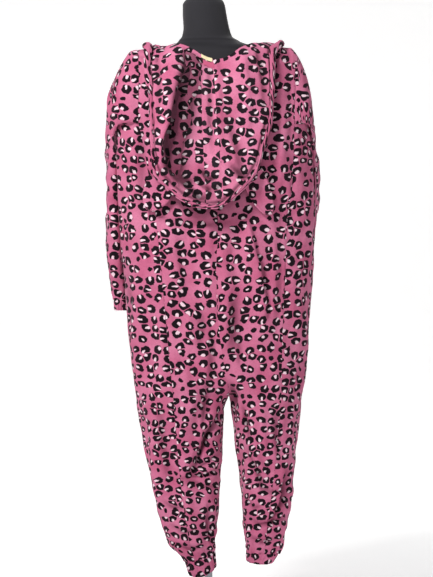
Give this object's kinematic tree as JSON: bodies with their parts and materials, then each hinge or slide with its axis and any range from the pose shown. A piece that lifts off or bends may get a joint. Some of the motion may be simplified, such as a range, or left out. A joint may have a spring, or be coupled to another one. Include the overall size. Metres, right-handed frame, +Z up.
{
  "type": "hooded onesie pajama on a dress form",
  "caption": "Hooded one-piece fleece pajama with ears, a front zip and elastic cuffs, hanging on a limbless dress form with a pole and a round base.",
  "frame": {"origin": "centre of the stand base's underside, on the floor", "axes": "+Z up; the garment's back faces -Y and its zipped front +Y; +X to the right as seen from behind"},
  "size_m": [0.589, 0.34, 1.685],
  "materials": {
    "fleece_print": "brushed fleece with an animal print",
    "label_cloth": "woven, plain",
    "trim": "woven tape",
    "zip_plastic": "moulded teeth",
    "metal": "plated",
    "jersey": "smooth stretched jersey",
    "stand_steel": "brushed"
  },
  "bodies": {
    "onesie": {"back_left": "fleece_print", "back_right": "fleece_print", "front_left": "fleece_print", "front_right": "fleece_print", "sleeve_left": "fleece_print", "sleeve_right": "fleece_print", "wrist_cuff_left": "fleece_print", "wrist_cuff_right": "fleece_print", "ankle_cuff_left": "fleece_print", "ankle_cuff_right": "fleece_print", "hood_left": "fleece_print", "hood_centre": "fleece_print", "hood_right": "fleece_print", "hood_hem": "fleece_print", "ear_left": "fleece_print", "ear_right": "fleece_print", "neck_label": "label_cloth", "hanger_loop": "trim", "zip_tape": "trim", "zip_chain": "zip_plastic", "zip_slider": "metal", "form_torso": "jersey", "form_pole": "stand_steel", "form_base": "stand_steel"},
    "pull": {"zip_pull": "metal"}
  },
  "joints": [
    {"name": "pull_swing", "type": "hinge", "parent": "onesie", "child": "pull", "pos_m": [0.023, 0.12056, 1.45164], "axis": [1, 0, 0], "range_deg": [0, 150]}
  ]
}
